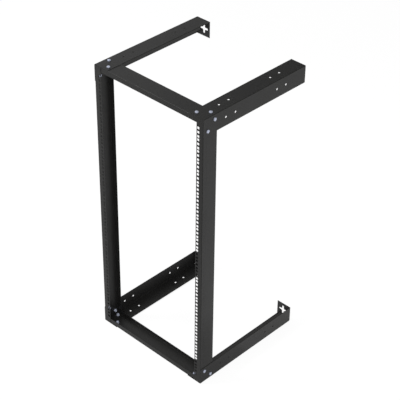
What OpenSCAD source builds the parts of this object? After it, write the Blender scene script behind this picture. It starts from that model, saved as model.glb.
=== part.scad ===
// Wall mount open frame rack for 19 inch equipment, 24 units high.
// Two punched rails and two crossbars make the front frame; four angle arms
// carry it off the wall and end in tabs with cross shaped keyholes.
// Millimetres. X runs across the opening, +Y points to the wall, +Z is up.
// The origin is at the middle of the footprint, level with the lowest bolt heads.

/* [Rack opening] */
// Clear width between the two rails
opening_w = 450; // [440:1:500]
// Number of rack units
rack_units = 24; // [6:1:42]
// Height of one rack unit
unit_h = 44.45; // [44:0.05:45]
// Plain height above the top rack unit
top_margin = 32; // [28:0.1:60]
// Plain height below the bottom rack unit
bottom_margin = 27.2; // [24:0.1:60]

/* [Sheet metal] */
// Sheet thickness of rails, crossbars and arms
sheet = 1.2; // [1:0.1:2.5]
// Inside radius of every bend
bend_r = 0.5; // [0.3:0.1:2]

/* [Rails] */
// Width of the punched front flange
rail_front = 29.8; // [24:0.1:40]
// Depth of the rail side
rail_depth = 65; // [50:0.5:90]
// Width of the rear flange
rail_rear = 22.3; // [12:0.1:26]
// Side of a square rack hole
rack_hole = 9.5; // [9:0.1:10]
// Inset of the hole row from the opening edge
hole_inset = 7.55; // [7:0.05:9]
// Height of the first hole in each unit
hole_z1 = 6.35; // [6:0.05:7]
// Height of the second hole in each unit
hole_z2 = 22.225; // [22:0.005:23]
// Height of the third hole in each unit
hole_z3 = 38.1; // [38:0.05:39]

/* [Crossbars] */
// Height of the crossbar front flange
bar_front = 20; // [12:0.5:26]
// Height of the crossbar back flange
bar_back = 17.5; // [8:0.5:24]

/* [Arms] */
// Depth of the rack from its front face to the wall
depth = 498; // [300:1:700]
// Height of the side flange of an arm
arm_side = 65; // [65:0.5:90]
// Width of the flat flange of an arm
arm_flat = 65; // [65:0.5:90]
// Width of the wall tab from the outer face
tab_w = 64; // [60:0.5:90]
// Width of the stiffening lip
lip_w = 11.5; // [6:0.5:16]
// Distance from the rear of the rails to the start of a lip
lip_front = 3; // [2:0.5:20]
// Distance from the end of a lip to the wall
lip_rear = 50; // [20:1:100]

/* [Wall keyholes] */
// Distance of the keyhole centre from the outer side face
key_u = 36; // [32:0.5:50]
// Distance of the keyhole centre from the top or bottom face
key_v = 35; // [32:0.5:50]
// Diameter of the keyhole centre
key_d = 16.5; // [12:0.5:20]
// Width of the four keyhole slots
key_slot = 8.5; // [6:0.5:11]
// Distance from the keyhole centre to the end centre of a slot
key_reach = 14.5; // [10:0.5:18]

/* [Accessory holes] */
// Diameter of an accessory hole
acc_d = 7.5; // [4:0.1:9]
// Distance of an accessory hole from the arm corner
acc_u = 32.5; // [25:0.5:40]
// Distance from the front face to the front pair of accessory holes
acc_front = 104.5; // [90:0.5:120]
// Distance from the rear pair of accessory holes to the wall
acc_rear = 100.5; // [70:0.5:120]
// Distance between the two holes of a pair
acc_pitch = 45; // [20:0.5:60]

/* [Fasteners] */
// Diameter of a bolt shank
bolt_d = 6; // [5:0.5:6]
// Diameter of a domed bolt head
head_d = 12; // [11:0.1:16]
// Height of a domed bolt head
head_h = 4.4; // [3.6:0.1:5]
// Straight rim below the dome
head_rim = 3; // [0.5:0.1:3.2]
// Side of the square neck under the head
neck_w = 6; // [5:0.1:6.2]
// Distance from the arm corner to the near bolt
bolt_near = 17.5; // [15:0.5:20]
// Distance from the arm corner to the far bolt
bolt_far = 49.5; // [45:0.5:55]
// Distance from the near bolt to the rear of the rails
bolt_rear = 13.5; // [11:0.5:18]
// Distance from the front face to the far bolt
bolt_front = 19.5; // [14:0.5:24]
// Diameter of the nut flange
nut_flange_d = 13; // [11:0.1:14]
// Thickness of the nut flange
nut_flange_h = 1.2; // [0.8:0.1:2]
// Width of the nut across its flats
nut_af = 10; // [8:0.5:11]
// Height of the whole nut
nut_h = 6; // [4:0.1:7]
// Bolt length showing past the nut
bolt_end = 2; // [0.5:0.1:3]
// Chamfer on the end of a bolt
bolt_chamfer = 0.6; // [0.2:0.1:1]

/* [Clearances] */
// Gap round a bolt shank in the sheets
bolt_gap = 0.3; // [0.1:0.05:0.6]
// Gap round the square neck in the arm
neck_gap = 0.2; // [0.1:0.05:0.4]
// Gap round the bolt thread in the nut
thread_gap = 0.1; // [0.05:0.05:0.2]
// Gap between crossbar ends and the bends beside them
fit_gap = 0.2; // [0.1:0.05:0.5]
// Gap between a wall tab and the flat flange
tab_gap = 0.5; // [0.2:0.1:1]

/* [Hidden] */
rack_h = bottom_margin + rack_units * unit_h + top_margin;
rail_x = opening_w / 2 + rail_front;
side_x = rail_x + sheet;
base_z = head_h;
bolt_y_near = rail_depth - bolt_rear;
bend_o = bend_r + sheet;
rail_z0 = 2 * sheet;
bar_y0 = sheet;
bar_depth = rail_depth - sheet;
bar_back_x = rail_x - rail_rear - fit_gap;
bar_front_x = rail_x - sheet - bend_r - fit_gap;
bar_end_x = rail_x - bend_r - fit_gap;
rear_y = depth - bend_o;
tab_z = bend_o + tab_gap;
cut = 1;
lap = 6;
acc_y = [acc_front, acc_front + acc_pitch, depth - acc_rear - acc_pitch, depth - acc_rear];
lip_start = rail_depth + lip_front;
lip_end = depth - lip_rear;
hole_d = bolt_d + 2 * bolt_gap;
hole_z = [hole_z1, hole_z2, hole_z3];
corners = ["top_left", "top_right", "bottom_left", "bottom_right"];
black = [0.17, 0.17, 0.17];
zinc = [0.78, 0.8, 0.84];
$fn = 32;

// Moves the drawing frame, which starts at the front face and the arm undersides.
module placed() {
  translate([0, -depth / 2, base_z]) children();
}

// Turns a bottom left piece into the same piece at any of the four corners.
module at_corner(c) {
  top = (c == "top_left" || c == "top_right");
  right = (c == "top_right" || c == "bottom_right");
  placed()
    translate([0, 0, top ? rack_h : 0])
      mirror([0, 0, top ? 1 : 0])
        mirror([right ? 1 : 0, 0, 0])
          children();
}

// Rectangle from the origin with its corner at the origin rounded.
module round_block(w, h, r) {
  translate([r, 0]) square([w - r, h]);
  translate([0, r]) square([w, h - r]);
  translate([r, r]) circle(r);
}

// Bent angle section: leg a along X, leg b along Y.
module angle_2d(a, b) {
  intersection() {
    square([a, b]);
    difference() {
      round_block(a + cut, b + cut, bend_o);
      translate([sheet, sheet]) round_block(a + cut, b + cut, bend_r);
    }
  }
}

// Bent channel section: web w along X, leg a at its start, leg b at its end.
module channel_2d(w, a, b) {
  angle_2d(w / 2 + lap, a);
  translate([w, 0]) mirror([1, 0]) angle_2d(w / 2 + lap, b);
}

// Angle section of an arm with a lip on the flat flange, the side flange or none.
module arm_2d(lip) {
  if (lip == "flat") {
    channel_2d(arm_flat, arm_side, lip_w);
  } else if (lip == "side") {
    angle_2d(arm_flat, arm_side / 2 + lap);
    translate([0, arm_side]) mirror([0, 1]) angle_2d(lip_w, arm_side / 2 + lap);
  } else {
    angle_2d(arm_flat, arm_side);
  }
}

// Extrudes a section drawn in XZ from y0 to y1.
module along_y(y0, y1) {
  translate([0, y1, 0]) rotate([90, 0, 0]) linear_extrude(height = y1 - y0) children();
}

// Extrudes a section drawn in YZ from x0 to x1.
module along_x(x0, x1) {
  translate([x0, 0, 0]) rotate([90, 0, 90]) linear_extrude(height = x1 - x0) children();
}

// Round cutter through the flat flanges at u from the corner.
module flat_hole(u, y, d, len) {
  translate([-side_x + u, y, -cut]) cylinder(h = len + 2 * cut, d = d);
}

// Round cutter through the side flanges at u from the corner.
module side_hole(u, y, d, len) {
  translate([-side_x - cut, y, u]) rotate([0, 90, 0]) cylinder(h = len + 2 * cut, d = d);
}

// Right hand rail with its square holes and bolt holes.
module rail_body() {
  difference() {
    translate([rail_x, 0, rail_z0])
      rotate([0, 0, 90])
        linear_extrude(height = rack_h - 2 * rail_z0)
          channel_2d(rail_depth, rail_front, rail_rear);
    for (n = [0:rack_units - 1], z = hole_z) {
      translate([opening_w / 2 + hole_inset - rack_hole / 2, -cut,
                 bottom_margin + n * unit_h + z - rack_hole / 2])
        cube([rack_hole, sheet + 2 * cut, rack_hole]);
    }
    for (m = [0, 1]) {
      translate([0, 0, m * rack_h]) mirror([0, 0, m]) mirror([1, 0, 0]) {
        side_hole(bolt_near, bolt_y_near, hole_d, 2 * sheet);
        side_hole(bolt_far, bolt_front, hole_d, 2 * sheet);
      }
    }
  }
}

module left_rail() {
  color(black) placed() mirror([1, 0, 0]) rail_body();
}

module right_rail() {
  color(black) placed() rail_body();
}

// Bottom crossbar: full channel between the rails, notched at both ends.
module bar_body() {
  difference() {
    translate([0, bar_y0, sheet]) {
      along_x(-bar_back_x, bar_back_x) channel_2d(bar_depth, bar_front, bar_back);
      for (m = [0, 1]) {
        mirror([m, 0, 0]) {
          along_x(bar_back_x, bar_front_x) angle_2d(bar_depth, bar_front);
          along_x(bar_front_x, bar_end_x)
            translate([bend_o, 0]) square([bar_depth - bend_o, sheet]);
        }
      }
    }
    for (m = [0, 1]) {
      mirror([m, 0, 0]) {
        flat_hole(bolt_near, bolt_y_near, hole_d, 2 * sheet);
        flat_hole(bolt_far, bolt_front, hole_d, 2 * sheet);
      }
    }
  }
}

module top_crossbar() {
  color(black) placed() translate([0, 0, rack_h]) mirror([0, 0, 1]) bar_body();
}

module bottom_crossbar() {
  color(black) placed() bar_body();
}

// Cross shaped keyhole drawn round its centre.
module keyhole_2d() {
  circle(d = key_d);
  for (a = [0, 90]) {
    rotate(a) {
      square([2 * key_reach, key_slot], center = true);
      for (s = [-1, 1]) {
        translate([s * key_reach, 0]) circle(d = key_slot);
      }
    }
  }
}

// Square cutter for the neck of a bolt, centred on its axis.
module neck_cut() {
  w = neck_w + 2 * neck_gap;
  translate([-w / 2, -w / 2, -sheet - cut]) cube([w, w, sheet + 2 * cut]);
}

// Bottom left arm: angle, wall tab, keyhole, accessory holes and bolt holes.
module arm_body(lip) {
  difference() {
    union() {
      translate([-side_x, 0, 0]) {
        along_y(0, lip_start) arm_2d("none");
        along_y(lip_start, lip_end) arm_2d(lip);
        along_y(lip_end, rear_y) arm_2d("none");
        translate([bend_o, rear_y - cut, 0]) cube([arm_flat - bend_o, bend_o + cut, sheet]);
        translate([0, depth, tab_z])
          linear_extrude(height = arm_side - tab_z)
            mirror([0, 1]) angle_2d(tab_w, 3 * bend_o);
        translate([bend_o, depth - sheet, sheet + tab_gap])
          cube([tab_w - bend_o, sheet, 2 * bend_o]);
      }
    }
    translate([-side_x + key_u, depth + cut, key_v])
      rotate([90, 0, 0])
        linear_extrude(height = sheet + 2 * cut) keyhole_2d();
    for (y = acc_y) {
      flat_hole(acc_u, y, acc_d, sheet);
      side_hole(acc_u, y, acc_d, sheet);
    }
    bolt_places() neck_cut();
  }
}

// Puts its child, drawn along +Z from the outer face, at the four bolts of a corner.
module bolt_places() {
  for (k = [1:4]) {
    bolt_place(k) children();
  }
}

// One bolt place of the bottom left corner: 1 and 2 flat flange, 3 and 4 side flange.
module bolt_place(k) {
  near = (k == 1 || k == 3);
  u = near ? bolt_near : bolt_far;
  y = near ? bolt_y_near : bolt_front;
  if (k < 3) {
    translate([-side_x + u, y, 0]) rotate([180, 0, 0]) children();
  } else {
    translate([-side_x, y, u]) rotate([0, -90, 0]) children();
  }
}

module top_left_arm() {
  color(black) at_corner("top_left") arm_body("flat");
}

module top_right_arm() {
  color(black) at_corner("top_right") arm_body("none");
}

module bottom_left_arm() {
  color(black) at_corner("bottom_left") arm_body("none");
}

module bottom_right_arm() {
  color(black) at_corner("bottom_right") arm_body("side");
}

// Domed bolt with a square neck; its head stands on z = 0 and points along +Z.
module bolt_body() {
  rise = head_h - head_rim;
  dome_r = (head_d * head_d / 4 + rise * rise) / (2 * rise);
  len = 2 * sheet + nut_h + bolt_end;
  rotate_extrude() {
    intersection() {
      translate([0, head_h - dome_r]) circle(dome_r, $fn = 64);
      square([head_d / 2, head_h]);
    }
  }
  translate([-neck_w / 2, -neck_w / 2, -sheet + 0.1]) cube([neck_w, neck_w, sheet]);
  translate([0, 0, -len + bolt_chamfer]) cylinder(h = len, d = bolt_d);
  translate([0, 0, -len])
    cylinder(h = bolt_chamfer, d1 = bolt_d - 2 * bolt_chamfer, d2 = bolt_d);
}

// Flanged hexagon nut bearing on the inner sheet.
module nut_body() {
  top = -2 * sheet;
  difference() {
    union() {
      translate([0, 0, top - nut_flange_h]) cylinder(h = nut_flange_h, d = nut_flange_d);
      translate([0, 0, top - nut_h])
        cylinder(h = nut_h - nut_flange_h / 2, d = nut_af / cos(30), $fn = 6);
    }
    translate([0, 0, top - nut_h - cut])
      cylinder(h = nut_h + 2 * cut, d = bolt_d + 2 * thread_gap);
  }
}

module bolt(c, k) {
  color(zinc) at_corner(c) bolt_place(k) bolt_body();
}

module nut(c, k) {
  color(zinc) at_corner(c) bolt_place(k) nut_body();
}

left_rail();
right_rail();
top_crossbar();
bottom_crossbar();
top_left_arm();
top_right_arm();
bottom_left_arm();
bottom_right_arm();
for (c = corners, k = [1:4]) {
  bolt(c, k);
}
for (c = corners, k = [1:4]) {
  nut(c, k);
}
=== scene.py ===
import math

import bpy
import numpy as np
from bpy.props import FloatProperty, FloatVectorProperty, PointerProperty
from mathutils import Matrix, Vector


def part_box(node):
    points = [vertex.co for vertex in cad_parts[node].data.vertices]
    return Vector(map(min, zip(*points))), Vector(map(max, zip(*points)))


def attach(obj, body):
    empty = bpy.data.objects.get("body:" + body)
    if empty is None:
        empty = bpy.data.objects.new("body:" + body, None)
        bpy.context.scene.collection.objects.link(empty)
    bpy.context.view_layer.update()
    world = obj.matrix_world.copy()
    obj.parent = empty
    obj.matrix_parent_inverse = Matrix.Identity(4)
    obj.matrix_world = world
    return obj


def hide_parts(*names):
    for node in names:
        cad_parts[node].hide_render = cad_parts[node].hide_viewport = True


bl_info = {
    "name": "Wall mount open frame rack",
    "version": (1, 0, 0),
    "blender": (4, 5, 0),
    "location": "3D View > Sidebar > Rack",
    "description": "Finishes the sheet metal, bolts and nuts of a wall rack",
    "category": "Object",
}

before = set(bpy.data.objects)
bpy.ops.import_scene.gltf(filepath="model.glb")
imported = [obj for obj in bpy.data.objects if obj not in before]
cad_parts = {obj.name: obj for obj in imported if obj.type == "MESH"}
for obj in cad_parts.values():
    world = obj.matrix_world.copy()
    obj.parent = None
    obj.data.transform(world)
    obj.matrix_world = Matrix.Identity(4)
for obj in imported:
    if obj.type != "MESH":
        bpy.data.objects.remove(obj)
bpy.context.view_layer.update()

MM = 0.001
CORNERS = ("top_left", "top_right", "bottom_left", "bottom_right")
RAILS = ("left_rail", "right_rail")
CROSSBARS = ("top_crossbar", "bottom_crossbar")
ARMS = tuple(f"{corner}_arm" for corner in CORNERS)
PLACES = (1, 2, 3, 4)
FULL_TURN = 2 * math.pi
BOLT_COLUMNS = 64
DOME_ROWS = 14
BOLT_THREAD_ROWS = 26
NECK_SQUARENESS = 14
NUT_COLUMNS = 72
BORE_ROWS = 20
EASED_ABOVE = 50
RACK_MIDDLE = (0.0, 0.0, 0.55)
KEY_PLACE = (3.0, -3.0, 3.6)
KEY_SIDE = 2.5
EDGE_PLACE = (-3.2, -3.3, 3.9)
EDGE_SIDE = 1.6
# Cards that only reflections see: they paint dark shade into the coat's reflections, on its
# bends and towards the rear of its tops.
REAR_REFLECTION_SHADE = {"low": (-2.2, -0.6, 1.7), "high": (1.6, 1.7), "slope": (0.75, 0.62, 0.53)}
FRONT_REFLECTION_SHADE = {"low": (-2.5, -5.0, 0.004), "high": (4.5, 0.0), "slope": (0.4, -0.52, 0.13)}
FLOOR_WHITE = (0.9, 0.9, 0.9)
# Black of the cards that paint dark shade into the reflections.
REFLECTION_SHADE_BLACK = (0.01, 0.01, 0.01)
FLOOR_GLOW = 1.08
GLOW_TO_CAMERA = 0.8
GLOW_TO_REFLECTIONS = 0.5


# Shader maths


class Signal:
    """A node socket that takes part in sums, so shader maths reads as sums."""

    def __init__(self, paint, socket):
        self.paint = paint
        self.socket = socket

    def _join(self, operation, first, second):
        return self.paint.node(
            "ShaderNodeMath", {"operation": operation}, {0: first, 1: second}
        )

    def __add__(self, other):
        return self._join("ADD", self, other)

    def __radd__(self, other):
        return self._join("ADD", other, self)

    def __sub__(self, other):
        return self._join("SUBTRACT", self, other)

    def __mul__(self, other):
        return self._join("MULTIPLY", self, other)

    def clipped(self):
        """The value held between 0 and 1."""
        return self.paint.node(
            "ShaderNodeMath", {"operation": "ADD", "use_clamp": True}, {0: self, 1: 0.0}
        )


class Paint:
    """Adds nodes to the tree of one material or world."""

    def __init__(self, owner):
        owner.use_nodes = True
        self.tree = owner.node_tree
        self.tree.nodes.clear()

    def node(self, kind, settings=None, inputs=None, output=0):
        """A node with its settings made first, then its sockets set or linked."""
        made = self.tree.nodes.new(kind)
        for key, value in (settings or {}).items():
            if key == "stops":
                ends = made.color_ramp.elements
                for place, (position, shade) in enumerate(value):
                    stop = ends[place] if place < len(ends) else ends.new(position)
                    stop.position = position
                    stop.color = (shade, shade, shade, 1.0)
            else:
                setattr(made, key, value)
        for key, value in (inputs or {}).items():
            if isinstance(value, Signal):
                self.tree.links.new(value.socket, made.inputs[key])
            else:
                made.inputs[key].default_value = value
        return Signal(self, made.outputs[output]) if len(made.outputs) else None

    def mix(self, factor, first, second):
        """Colour that goes from first to second as the factor goes from 0 to 1."""
        return self.node(
            "ShaderNodeMix", {"data_type": "RGBA"}, {0: factor, 6: first, 7: second}, 2
        )

    def noise(self, place, size, detail=2.0, roughness=0.5):
        """Noise whose blobs are about size metres across."""
        return self.node(
            "ShaderNodeTexNoise",
            {"noise_dimensions": "3D"},
            {"Vector": place, "Scale": 1 / size, "Detail": detail, "Roughness": roughness},
        )


def rgba(colour):
    return (*colour, 1.0)


def coat_material():
    """Fine textured powder coat: two near black shades, a sandy grain and a soft peel."""
    look = bpy.context.scene.rack_coat
    material = bpy.data.materials.new("black_powder_coat")
    paint = Paint(material)
    place = paint.node("ShaderNodeTexCoord", output=3)
    grain = paint.noise(place, look.grain, 2.0, 0.6)
    peel = paint.noise(place, look.grain * 4, 1.0)
    cloud = paint.noise(place, look.cloud, 3.0)
    speck = paint.node(
        "ShaderNodeValToRGB", {"stops": ((0.46, 0.0), (0.66, 1.0))}, {"Fac": grain}
    )
    shade = paint.mix(cloud, rgba(look.deep), rgba(look.colour))
    shade = paint.mix(speck * 0.35, shade, rgba(look.fleck))
    height = grain * 0.7 + peel * 0.3
    bump = paint.node(
        "ShaderNodeBump", None,
        {"Strength": look.relief, "Distance": look.grain * 0.16, "Height": height},
    )
    surface = paint.node(
        "ShaderNodeBsdfPrincipled", None,
        {
            "Base Color": shade,
            "Roughness": look.roughness + (cloud - 0.5) * 0.16 + (grain - 0.5) * 0.1,
            "Specular IOR Level": look.sheen,
            "Normal": bump,
        },
    )
    paint.node("ShaderNodeOutputMaterial", None, {"Surface": surface})
    return material


def zinc_material():
    """Bright zinc plate: cool metal with a cloudy blue haze and a faint dull grain."""
    look = bpy.context.scene.rack_zinc
    material = bpy.data.materials.new("bright_zinc_plate")
    paint = Paint(material)
    place = paint.node("ShaderNodeTexCoord", output=3)
    haze = paint.noise(place, look.haze, 2.0)
    grain = paint.noise(place, look.grain, 2.0, 0.7)
    shade = paint.mix(haze, rgba(look.colour), rgba(look.tint))
    bump = paint.node(
        "ShaderNodeBump", None,
        {"Strength": 0.12, "Distance": look.grain * 0.2, "Height": grain},
    )
    surface = paint.node(
        "ShaderNodeBsdfPrincipled", None,
        {
            "Base Color": shade,
            "Metallic": look.metal,
            "Roughness": look.roughness + (haze - 0.5) * 0.2 + (grain - 0.5) * 0.1,
            "Normal": bump,
        },
    )
    paint.node("ShaderNodeOutputMaterial", None, {"Surface": surface})
    return material


def shared_material(name, make):
    """The finish of that name, made the first time that a piece asks for it."""
    return bpy.data.materials.get(name) or make()


# Surfaces


def shell(name, points, faces, material, smooth_angle=35.0):
    """Object at the origin from arrays of corners and faces, shaded smooth."""
    mesh = bpy.data.meshes.new(name)
    mesh.from_pydata(np.asarray(points, float).tolist(), [], faces)
    mesh.update()
    mesh.polygons.foreach_set("use_smooth", np.ones(len(mesh.polygons), bool))
    mesh.set_sharp_from_angle(angle=math.radians(smooth_angle))
    mesh.materials.append(material)
    made = bpy.data.objects.new(name, mesh)
    bpy.context.scene.collection.objects.link(made)
    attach(made, "root")
    return made


def ring_faces(rows, columns, closed):
    """Quads of a grid that wraps round its columns, and round its rows if closed.

    Corner (i, j) is number i * columns + j; each quad takes rows i and i + 1 and
    columns j and j + 1, with the last column joined to the first."""
    i = np.arange(rows if closed else rows - 1)[:, None]
    j = np.arange(columns)[None, :]
    below, beside = (i + 1) % rows, (j + 1) % columns
    corners = (i * columns + j, i * columns + beside,
               below * columns + beside, below * columns + j)
    return np.stack([np.broadcast_to(c, (i.size, columns)) for c in corners], -1).reshape(-1, 4)


def turned_points(radius, height, turn):
    """Point at radius r, height z and turn t: x = r cos t, y = r sin t, z = z."""
    radius, height, turn = np.broadcast_arrays(radius, height, turn)
    return np.stack([radius * np.cos(turn), radius * np.sin(turn), height], -1).reshape(-1, 3)


def turned_solid(radius, height, turn):
    """Surface of revolution closed by a pole at each end.

    Rows run from the first pole to the second; a fan of triangles joins each pole
    to the row beside it."""
    rows, columns = radius.shape
    points = turned_points(radius, height, turn)
    first, last = len(points), len(points) + 1
    ends = np.array([[0, 0, height[0].mean()], [0, 0, height[-1].mean()]])
    j = np.arange(columns)
    beside = (j + 1) % columns
    base = (rows - 1) * columns
    start = np.stack([np.full(columns, first), beside, j], -1)
    stop = np.stack([np.full(columns, last), base + j, base + beside], -1)
    faces = ring_faces(rows, columns, False).tolist() + start.tolist() + stop.tolist()
    return np.vstack([points, ends]), faces


def placed(points, origin, outward):
    """Points drawn along +Z from z = 0, turned so that +Z lies along outward."""
    axis = Vector(outward)
    turn = np.array(axis.to_track_quat("Z", "Y").to_matrix())
    return points @ turn.T + np.array(origin)


def seat_of(node, outward, inset):
    """Where a fastener's own z = 0 lies: the middle of its box, inset from its end."""
    low, high = (np.array(corner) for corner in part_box(node))
    middle = (low + high) / 2
    along = int(np.argmax(np.abs(outward)))
    end = high[along] if outward[along] > 0 else low[along]
    middle[along] = end - outward[along] * inset
    return middle


def outward_of(corner, place):
    """Places 1 and 2 face up or down, 3 and 4 face the rack's outer side."""
    if place < 3:
        return (0.0, 0.0, 1.0 if corner.startswith("top") else -1.0)
    return (1.0 if corner.endswith("right") else -1.0, 0.0, 0.0)


def arc(start, stop, count):
    """Angles from start to stop degrees, as radians."""
    return np.radians(np.linspace(start, stop, count))


def bolt_surface(size):
    """Domed bolt as one surface of revolution with a square neck and a thread.

    The dome is a circle arc that meets a straight rim with a small rounding. The
    neck's radius is a rounded square, a / (|cos t|^p + |sin t|^p)^(1/p). The thread
    takes its height from a triangle wave of z / pitch - t / turn."""
    columns = BOLT_COLUMNS
    turn = np.linspace(0, FULL_TURN, columns, endpoint=False)[None, :]
    round_row = np.ones_like(turn)
    head_r, rise = size.head / 2, size.head_height - size.rim
    dome_r = (head_r**2 + rise**2) / (2 * rise)
    edge = math.degrees(math.asin(head_r / dome_r))
    roll = size.rim * 0.1
    rows = [(dome_r * np.sin(a) * round_row, size.head_height - dome_r + dome_r * np.cos(a))
            for a in arc(1.5, edge * 0.98, DOME_ROWS)]
    rows += [((head_r - roll * 0.1) * round_row, size.rim * 1.01),
             (head_r * round_row, size.rim * 0.96)]
    rows += [((head_r - roll + roll * np.cos(a)) * round_row, roll + roll * np.sin(a))
             for a in arc(0, -90, 4)]
    power = NECK_SQUARENESS
    square = (np.abs(np.cos(turn)) ** power + np.abs(np.sin(turn)) ** power) ** (-1 / power)
    for depth, ease in ((0.0, 0.98), (0.1, 1.0), (0.9, 1.0), (1.0, 0.97)):
        rows.append((size.neck / 2 * ease * square, -size.neck_length * depth))
    shank_r = size.shank / 2
    rows.append((shank_r * round_row, -size.neck_length - 0.1 * MM))
    thread_top, thread_end = -size.grip, -size.length + size.tip
    for level in np.linspace(thread_top, thread_end, BOLT_THREAD_ROWS):
        wave = np.abs(((level / size.pitch - turn / FULL_TURN) % 1.0) * 2 - 1)
        fade = max(0.0, min(1.0, (thread_top - level) / (size.pitch / 2),
                            (level - thread_end) / (size.pitch / 2)))
        rows.append((shank_r - size.thread * (1 - np.clip(wave * 1.25, 0, 1)) * fade, level))
    rows += [((shank_r - size.tip * 0.75) * round_row, -size.length + size.tip * 0.25),
             ((shank_r - size.tip * 1.3) * round_row, -size.length)]
    radius = np.vstack([r for r, _ in rows])
    height = np.array([z for _, z in rows])[:, None] * round_row
    return turned_solid(radius, height, turn)


def nut_surface(size):
    """Flanged nut as one closed grid that runs down its outside and up its bore.

    The hexagon's radius is half its width over the cosine of the turn from the
    nearest flat, cut by a cone at its free end. The skirt's radius is constant."""
    columns = NUT_COLUMNS
    turn = np.linspace(0, FULL_TURN, columns, endpoint=False)[None, :]
    flat = size.flats / 2
    hexagon = flat / np.cos((turn + math.pi / 6) % (math.pi / 3) - math.pi / 6)
    corner = flat / math.cos(math.pi / 6)
    skirt, bore = size.flange / 2, size.bore / 2
    rows = [
        (skirt * 0.985 + 0 * turn, 0.0),
        (skirt + 0 * turn, 0.12),
        (skirt + 0 * turn, 0.55),
        (skirt * 0.97 + 0 * turn, 0.8),
        (skirt * 0.9 + 0 * turn, 1.0),
        (np.maximum(hexagon, flat * 1.04) + 0.25 * MM, 1.35),
        (hexagon, 1.75),
        (hexagon, size.height / MM - 1.0),
    ]
    for step in np.linspace(0, 1, 5):
        cone = corner - step * (corner - flat * 0.93)
        rows.append((np.minimum(hexagon, cone), size.height / MM - 0.9 + 0.87 * step))
    rows += [
        (flat * 0.9 + 0 * turn, size.height / MM),
        (bore + 0.45 * MM + 0 * turn, size.height / MM),
        (bore + 0 * turn, size.height / MM - 0.45),
    ]
    for step in np.linspace(0, 1, BORE_ROWS)[1:-1]:
        depth = size.height - 0.45 * MM - step * (size.height - 0.9 * MM)
        wave = np.abs(((depth / size.pitch + turn / FULL_TURN) % 1.0) * 2 - 1)
        rows.append((bore + size.thread * wave * 0.6, depth / MM))
    rows += [(bore + 0 * turn, 0.45), (bore + 0.45 * MM + 0 * turn, 0.0)]
    radius = np.vstack([np.broadcast_to(r, (1, columns)) for r, _ in rows])
    height = -np.array([z for _, z in rows])[:, None] * MM
    points = turned_points(radius, height, turn)
    return points, ring_faces(len(rows), columns, True)[:, ::-1].tolist()


def joined_sheet(node, name, material):
    """Copy of a sheet metal node with its loose triangles joined and its edges eased.

    Corners with the same rounded place become one corner, and a triangle keeps its
    three corners unless two of them fell together."""
    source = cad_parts[node].data
    places = np.empty(len(source.vertices) * 3, np.float32)
    source.vertices.foreach_get("co", places)
    places = places.reshape(-1, 3)
    source.calc_loop_triangles()
    corners = np.empty(len(source.loop_triangles) * 3, np.int32)
    source.loop_triangles.foreach_get("vertices", corners)
    rounded = np.round(places.astype(float) * 1e6).astype(np.int64)
    _, first, merged = np.unique(rounded, axis=0, return_index=True, return_inverse=True)
    faces = merged.reshape(-1)[corners].reshape(-1, 3)
    whole = (faces != np.roll(faces, 1, axis=1)).all(axis=1)
    made = shell(name, places[first], faces[whole].tolist(), material)
    ease = made.modifiers.new("eased_edges", "BEVEL")
    ease.width = bpy.context.scene.rack_coat.edge
    ease.segments = 2
    ease.limit_method = "ANGLE"
    ease.angle_limit = math.radians(EASED_ABOVE)
    ease.use_clamp_overlap = True
    even = made.modifiers.new("even_shading", "WEIGHTED_NORMAL")
    even.keep_sharp = True
    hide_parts(node)
    return made


# Settings


def length(name, description, default, **more):
    """A length setting in metres."""
    return FloatProperty(
        name=name, description=description, default=default, min=0.0,
        unit="LENGTH", precision=4, **more,
    )


def colour(name, description, default):
    """A colour setting."""
    return FloatVectorProperty(
        name=name, description=description, default=default,
        subtype="COLOR", size=3, min=0.0, max=1.0,
    )


def share(name, description, default):
    """A setting between 0 and 1."""
    return FloatProperty(
        name=name, description=description, default=default, min=0.0, max=1.0,
        subtype="FACTOR",
    )


class RackCoatSettings(bpy.types.PropertyGroup):
    colour: colour("Black", "Main shade of the powder coat", (0.0122, 0.012, 0.0115))
    deep: colour("Deep black", "Darker shade that clouds the coat", (0.0102, 0.01, 0.0097))
    fleck: colour("Fleck", "Pale tops of the grain", (0.017, 0.0167, 0.0162))
    roughness: share("Roughness", "How matt the coat is", 0.42)
    sheen: share("Sheen", "Strength of the coat's reflection", 0.3)
    relief: share("Relief", "Strength of the grain", 0.35)
    grain: length("Grain", "Size of one grain of the coat", 0.8 * MM)
    cloud: length("Cloud", "Size of the faint clouds in the shade", 90 * MM)
    edge: length("Edge", "Rounding of the cut sheet edges", 0.3 * MM)


class RackZincSettings(bpy.types.PropertyGroup):
    colour: colour("Zinc", "Main shade of the plate", (0.5, 0.53, 0.63))
    tint: colour("Tint", "Cool shade that hazes the plate", (0.44, 0.475, 0.59))
    roughness: share("Roughness", "How dull the plate is", 0.5)
    metal: share("Metal", "How much the plate shines as metal", 0.5)
    grain: length("Grain", "Size of the dull grain", 0.25 * MM)
    haze: length("Haze", "Size of the cool haze", 4 * MM)


class RackBoltSettings(bpy.types.PropertyGroup):
    head: length("Head", "Diameter of the domed head", 12.0 * MM)
    head_height: length("Head height", "Height of the domed head", 4.4 * MM)
    rim: length("Rim", "Straight rim below the dome", 3.0 * MM)
    neck: length("Neck", "Side of the square neck", 6.0 * MM)
    neck_length: length("Neck length", "Depth of the square neck", 1.1 * MM)
    shank: length("Shank", "Diameter of the shank", 6.0 * MM)
    length: length("Length", "Length below the head", 10.4 * MM)
    grip: length("Grip", "Plain length hidden by the sheets and the nut", 7.0 * MM)
    tip: length("Tip", "Chamfer at the end", 0.6 * MM)
    pitch: length("Pitch", "Pitch of the thread", 1.0 * MM)
    thread: length("Thread", "Depth of the thread", 0.55 * MM)


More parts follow.
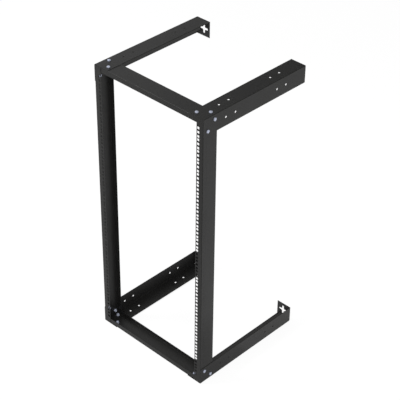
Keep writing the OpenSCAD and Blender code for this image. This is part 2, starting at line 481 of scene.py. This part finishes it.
class RackNutSettings(bpy.types.PropertyGroup):
    flange: length("Flange", "Diameter of the flange", 13.0 * MM)
    flats: length("Flats", "Width across the flats", 10.0 * MM)
    height: length("Height", "Height of the nut", 6.0 * MM)
    bore: length("Bore", "Diameter of the bore", 6.2 * MM)
    pitch: length("Pitch", "Pitch of the thread", 1.0 * MM)
    thread: length("Thread", "Depth of the thread", 0.4 * MM)


class RackStageSettings(bpy.types.PropertyGroup):
    floor: length("Floor", "Side of the square floor", 40.0)
    lens: FloatProperty(
        name="Lens", description="Focal length on a 36 mm sensor", default=116.383,
        min=10.0, max=500.0, unit="CAMERA",
    )
    eye: FloatVectorProperty(
        name="Eye", description="Place of the camera, up from the arms' underside",
        default=(2.647556, -2.765072, 3.262839), subtype="XYZ", unit="LENGTH",
    )
    aim: FloatVectorProperty(
        name="Aim", description="Point that the camera looks at, up from the arms' underside",
        default=(0.053017, -0.049, 0.619151), subtype="XYZ", unit="LENGTH",
    )
    roll: FloatProperty(
        name="Roll", description="Turn of the camera about its line of sight",
        default=math.radians(0.644), subtype="ANGLE",
    )
    ambient: FloatProperty(
        name="Ambient", description="Strength of the even light from all round",
        default=0.6, min=0.0, max=2.0,
    )
    key: FloatProperty(
        name="Key", description="Power of the main soft light", default=150.0,
        min=0.0, unit="POWER",
    )
    edge: FloatProperty(
        name="Edge", description="Power of the light that picks out the bends",
        default=130.0, min=0.0, unit="POWER",
    )


# Pieces


def require(nodes):
    """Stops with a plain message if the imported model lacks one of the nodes."""
    missing = [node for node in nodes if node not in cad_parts]
    if missing:
        raise RuntimeError(f"the packed model has no {', '.join(missing)}")


def dress_sheets(nodes):
    """Puts the eased and coated sheet in place of each node."""
    require(nodes)
    coat = shared_material("black_powder_coat", coat_material)
    for node in nodes:
        joined_sheet(node, f"{node}_sheet", coat)


def fit_fasteners(kind, surface, inset):
    """Puts a detailed bolt or nut in place of each one of the four corners."""
    nodes = [(c, k, f"{c}_{kind}_{k}") for c in CORNERS for k in PLACES]
    require([node for _, _, node in nodes])
    zinc = shared_material("bright_zinc_plate", zinc_material)
    points, faces = surface
    for corner, place, node in nodes:
        outward = outward_of(corner, place)
        seat = seat_of(node, outward, inset)
        made = shell(f"{node}_plated", placed(points, seat, outward), faces, zinc)
        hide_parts(node)


class RACK_OT_rails(bpy.types.Operator):
    """Coat the two punched rails"""

    bl_idname = "rack.rails"
    bl_label = "Punched rails"

    def execute(self, context):
        dress_sheets(RAILS)
        return {"FINISHED"}


class RACK_OT_crossbars(bpy.types.Operator):
    """Coat the top and bottom crossbars"""

    bl_idname = "rack.crossbars"
    bl_label = "Crossbars"

    def execute(self, context):
        dress_sheets(CROSSBARS)
        return {"FINISHED"}


class RACK_OT_arms(bpy.types.Operator):
    """Coat the four wall arms"""

    bl_idname = "rack.arms"
    bl_label = "Wall arms"

    def execute(self, context):
        dress_sheets(ARMS)
        return {"FINISHED"}


class RACK_OT_bolts(bpy.types.Operator):
    """Fit the domed bolts of every corner"""

    bl_idname = "rack.bolts"
    bl_label = "Domed bolts"

    def execute(self, context):
        size = context.scene.rack_bolt
        fit_fasteners("bolt", bolt_surface(size), size.head_height)
        return {"FINISHED"}


class RACK_OT_nuts(bpy.types.Operator):
    """Fit the flanged nuts of every corner"""

    bl_idname = "rack.nuts"
    bl_label = "Flanged nuts"

    def execute(self, context):
        fit_fasteners("nut", nut_surface(context.scene.rack_nut), 0.0)
        return {"FINISHED"}


# Stage


def floor_material():
    """White floor, mostly glow to the camera, half glow to reflections, matt to all else."""
    material = bpy.data.materials.new("white_floor")
    paint = Paint(material)
    seen, shine = (paint.node("ShaderNodeLightPath", output=name) for name in
                   ("Is Camera Ray", "Is Glossy Ray"))
    matt = paint.node("ShaderNodeBsdfDiffuse", None, {"Color": rgba(FLOOR_WHITE)})
    glow = paint.node("ShaderNodeEmission", None, {"Strength": FLOOR_GLOW})
    share_of_glow = seen * GLOW_TO_CAMERA + shine * GLOW_TO_REFLECTIONS
    both = paint.node("ShaderNodeMixShader", None, {0: share_of_glow, 1: matt, 2: glow})
    paint.node("ShaderNodeOutputMaterial", None, {"Surface": both})
    return material


def floor_piece(side):
    """Flat grid of side by side metres at z = 0: x and y run from -side/2 to side/2."""
    steps = np.linspace(-side / 2, side / 2, 9)
    x, y = np.meshgrid(steps, steps)
    points = np.stack([x, y, np.zeros_like(x)], -1).reshape(-1, 3)
    count = len(steps)
    i, j = (a.reshape(-1) for a in np.meshgrid(range(count - 1), range(count - 1)))
    start = j * count + i
    faces = np.stack([start, start + 1, start + count + 1, start + count], -1)
    mesh = bpy.data.meshes.new("floor")
    mesh.from_pydata(points.tolist(), [], faces.tolist())
    mesh.materials.append(floor_material())
    floor = bpy.data.objects.new("floor", mesh)
    bpy.context.scene.collection.objects.link(floor)


def white_world(ambient):
    """White where the camera or a reflection sees it, softer as a light."""
    world = bpy.data.worlds.new("white_studio")
    bpy.context.scene.world = world
    paint = Paint(world)
    seen = [paint.node("ShaderNodeLightPath", output=name) for name in
            ("Is Camera Ray", "Is Glossy Ray", "Is Transmission Ray")]
    shown = (seen[0] + seen[1] + seen[2]).clipped()
    light = paint.node(
        "ShaderNodeBackground", None, {"Strength": ambient + shown * (1.0 - ambient)}
    )
    paint.node("ShaderNodeOutputWorld", None, {"Surface": light})


def reflection_shade_card(name, low, high, slope):
    """Flat card that only reflections see, painting dark shade into the coat's reflections:
    clear at one end and black at the other.

    It is a rectangle from low to high, at the height of low; its darkness is
    a x + b y + c, held between 0 and 1, with slope = (a, b, c)."""
    corners = [(low[0], low[1], low[2]), (high[0], low[1], low[2]),
               (high[0], high[1], low[2]), (low[0], high[1], low[2])]
    mesh = bpy.data.meshes.new(name)
    mesh.from_pydata(corners, [], [(0, 1, 2, 3)])
    material = bpy.data.materials.new(name)
    paint = Paint(material)
    place = paint.node("ShaderNodeTexCoord", output=3)
    across, along = (
        paint.node("ShaderNodeSeparateXYZ", None, {"Vector": place}, axis) for axis in "XY"
    )
    darkness = (across * slope[0] + along * slope[1] + slope[2]).clipped()
    clear = paint.node("ShaderNodeBsdfTransparent")
    black = paint.node("ShaderNodeBsdfDiffuse", None, {"Color": rgba(REFLECTION_SHADE_BLACK)})
    both = paint.node("ShaderNodeMixShader", None, {0: darkness, 1: clear, 2: black})
    paint.node("ShaderNodeOutputMaterial", None, {"Surface": both})
    mesh.materials.append(material)
    card = bpy.data.objects.new(name, mesh)
    card.visible_camera = False
    card.visible_diffuse = False
    card.visible_shadow = False
    bpy.context.scene.collection.objects.link(card)


def soft_light(name, place, target, side, power):
    """Square soft light at a place, turned to its target."""
    data = bpy.data.lights.new(name, "AREA")
    data.shape = "SQUARE"
    data.size = side
    data.energy = power
    made = bpy.data.objects.new(name, data)
    made.location = place
    made.rotation_euler = (Vector(target) - Vector(place)).to_track_quat("-Z", "Y").to_euler()
    bpy.context.scene.collection.objects.link(made)


def camera(stage):
    """Camera at the eye, looking at the aim, turned by the roll about its view."""
    data = bpy.data.cameras.new("camera")
    data.sensor_width = 36.0
    data.lens = stage.lens
    data.clip_start, data.clip_end = 0.1, 100.0
    made = bpy.data.objects.new("camera", data)
    underside = Vector((0.0, 0.0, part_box("bottom_left_arm")[0][2]))
    back = (Vector(stage.eye) - Vector(stage.aim)).normalized()
    right = Vector((0, 0, 1)).cross(back).normalized()
    up = back.cross(right)
    turned = right * math.cos(stage.roll) + up * math.sin(stage.roll)
    above = up * math.cos(stage.roll) - right * math.sin(stage.roll)
    axes = Matrix((turned, above, back)).transposed()
    made.matrix_world = Matrix.Translation(Vector(stage.eye) + underside) @ axes.to_4x4()
    bpy.context.scene.collection.objects.link(made)
    bpy.context.scene.camera = made


class RACK_OT_stage(bpy.types.Operator):
    """Make the floor, the soft lights and the camera"""

    bl_idname = "rack.stage"
    bl_label = "Studio"

    def execute(self, context):
        stage = context.scene.rack_stage
        floor_piece(stage.floor)
        white_world(stage.ambient)
        soft_light("key_light", KEY_PLACE, RACK_MIDDLE, KEY_SIDE, stage.key)
        soft_light("edge_light", EDGE_PLACE, RACK_MIDDLE, EDGE_SIDE, stage.edge)
        # Painted shade: cards that only reflections see darken the coat's reflections on its
        # bends and towards the rear of its tops.
        reflection_shade_card("rear_reflection_shade", **REAR_REFLECTION_SHADE)
        reflection_shade_card("front_reflection_shade", **FRONT_REFLECTION_SHADE)
        camera(stage)
        context.scene.view_settings.view_transform = "Standard"
        return {"FINISHED"}


class RACK_PT_sidebar(bpy.types.Panel):
    """Lists the steps that build the rack"""

    bl_idname = "RACK_PT_sidebar"
    bl_label = "Wall rack"
    bl_space_type = "VIEW_3D"
    bl_region_type = "UI"
    bl_category = "Rack"

    def draw(self, context):
        for step in STEPS:
            self.layout.operator(step.bl_idname)


STEPS = (RACK_OT_rails, RACK_OT_crossbars, RACK_OT_arms, RACK_OT_bolts, RACK_OT_nuts,
         RACK_OT_stage)
SETTINGS = {
    "rack_coat": RackCoatSettings,
    "rack_zinc": RackZincSettings,
    "rack_bolt": RackBoltSettings,
    "rack_nut": RackNutSettings,
    "rack_stage": RackStageSettings,
}


def register():
    for name, group in SETTINGS.items():
        bpy.utils.register_class(group)
        setattr(bpy.types.Scene, name, PointerProperty(type=group))
    for item in (*STEPS, RACK_PT_sidebar):
        bpy.utils.register_class(item)


def unregister():
    for item in reversed((*STEPS, RACK_PT_sidebar)):
        bpy.utils.unregister_class(item)
    for name, group in reversed(SETTINGS.items()):
        delattr(bpy.types.Scene, name)
        bpy.utils.unregister_class(group)


def main():
    register()
    bpy.ops.rack.rails()
    bpy.ops.rack.crossbars()
    bpy.ops.rack.arms()
    bpy.ops.rack.bolts()
    bpy.ops.rack.nuts()
    bpy.ops.rack.stage()


if __name__ == "__main__":
    main()
